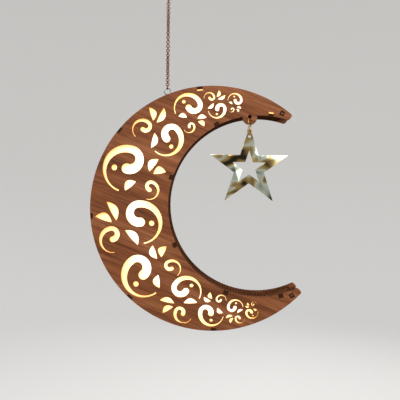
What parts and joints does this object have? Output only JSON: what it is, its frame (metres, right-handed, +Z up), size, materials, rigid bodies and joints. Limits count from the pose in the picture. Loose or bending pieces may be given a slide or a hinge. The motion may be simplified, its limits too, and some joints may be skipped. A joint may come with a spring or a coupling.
{
  "type": "hanging crescent lantern ornament",
  "caption": "Lit plywood crescent lantern with vine-scroll fretwork, hung on a fine chain, with a mirrored star pendant swinging in its bay.",
  "frame": {"origin": "centre of the hanging ring at the top of the chain", "axes": "+Z up along the chain, front face towards -Y, +X to the right seen from the front, where the crescent opens"},
  "size_m": [0.2602, 0.05, 0.4275],
  "materials": {
    "walnut_ply": "satin walnut veneer on plywood, edges darkened by laser cutting",
    "lit_diffuser": "translucent white sheet, lit from behind",
    "nickel": "polished nickel plating",
    "brass_wire": "polished brass wire",
    "copper": "polished copper-coloured wire",
    "gold_mirror": "gold mirror acrylic, slightly wavy",
    "wire_cover": "insulated wire",
    "holder_white": "moulded",
    "lit_bead": "clear lit lens",
    "case_black": "fine texture",
    "knob_white": "moulded",
    "steel": "zinc plated",
    "cell_can": "plain sleeve"
  },
  "bodies": {
    "hanging_ring": {"hanging_ring": "brass_wire"},
    "chain_top_link": {"chain_top_link": "copper"},
    "hanging_chain": {"hanging_chain": "copper"},
    "chain_end_link": {"chain_end_link": "copper"},
    "lantern": {"front_panel": "walnut_ply", "back_panel": "walnut_ply", "outer_wall": "walnut_ply", "inner_wall": "walnut_ply", "upper_tip_post": "walnut_ply", "lower_tip_post": "walnut_ply", "anchor_block": "walnut_ply", "diffuser_sheet": "lit_diffuser", "eye_screw": "nickel", "led_wire": "wire_cover", "led_holders": "holder_white", "led_beads": "lit_bead", "battery_case": "case_black", "case_screws": "steel", "battery_cells": "cell_can", "contact_leaves": "steel", "switch_body": "case_black"},
    "lug_ring": {"lug_ring": "brass_wire"},
    "star_ring": {"star_ring": "brass_wire"},
    "star_pendant": {"star_pendant": "gold_mirror"},
    "battery_cover": {"battery_cover": "case_black"},
    "switch_slider": {"switch_slider": "knob_white"}
  },
  "joints": [
    {"name": "top_link_swing", "type": "hinge", "parent": "hanging_ring", "child": "chain_top_link", "pos_m": [0, 0, -0.008], "axis": [1, 0, 0], "range_deg": [-45, 45]},
    {"name": "chain_swing", "type": "hinge", "parent": "chain_top_link", "child": "hanging_chain", "pos_m": [0, 0, -0.0119], "axis": [0, 1, 0], "range_deg": [-45, 45]},
    {"name": "end_link_swing", "type": "hinge", "parent": "hanging_chain", "child": "chain_end_link", "pos_m": [0, 0, -0.11545], "axis": [1, 0, 0], "range_deg": [-30, 30]},
    {"name": "lantern_swing", "type": "hinge", "parent": "chain_end_link", "child": "lantern", "pos_m": [0, 0, -0.1198], "axis": [0, 1, 0], "range_deg": [-30, 30]},
    {"name": "lug_ring_swing", "type": "hinge", "parent": "lantern", "child": "lug_ring", "pos_m": [0.10254, -0.0207, -0.15732], "axis": [0.342, 0.9397, 0], "range_deg": [-20, 20]},
    {"name": "star_ring_turn", "type": "hinge", "parent": "lug_ring", "child": "star_ring", "pos_m": [0.10254, -0.0207, -0.16774], "axis": [0, 0, 1], "range_deg": [-10, 45]},
    {"name": "star_swing", "type": "hinge", "parent": "star_ring", "child": "star_pendant", "pos_m": [0.10254, -0.0207, -0.17267], "axis": [0.9397, 0.342, 0], "range_deg": [-25, 25]},
    {"name": "cover_slide", "type": "slide", "parent": "lantern", "child": "battery_cover", "axis": [-0.1392, 0, 0.9903], "range_m": [0, 0.0583]},
    {"name": "switch_slide", "type": "slide", "parent": "lantern", "child": "switch_slider", "axis": [0.9903, 0, 0.1392], "range_m": [0, 0.004]}
  ]
}
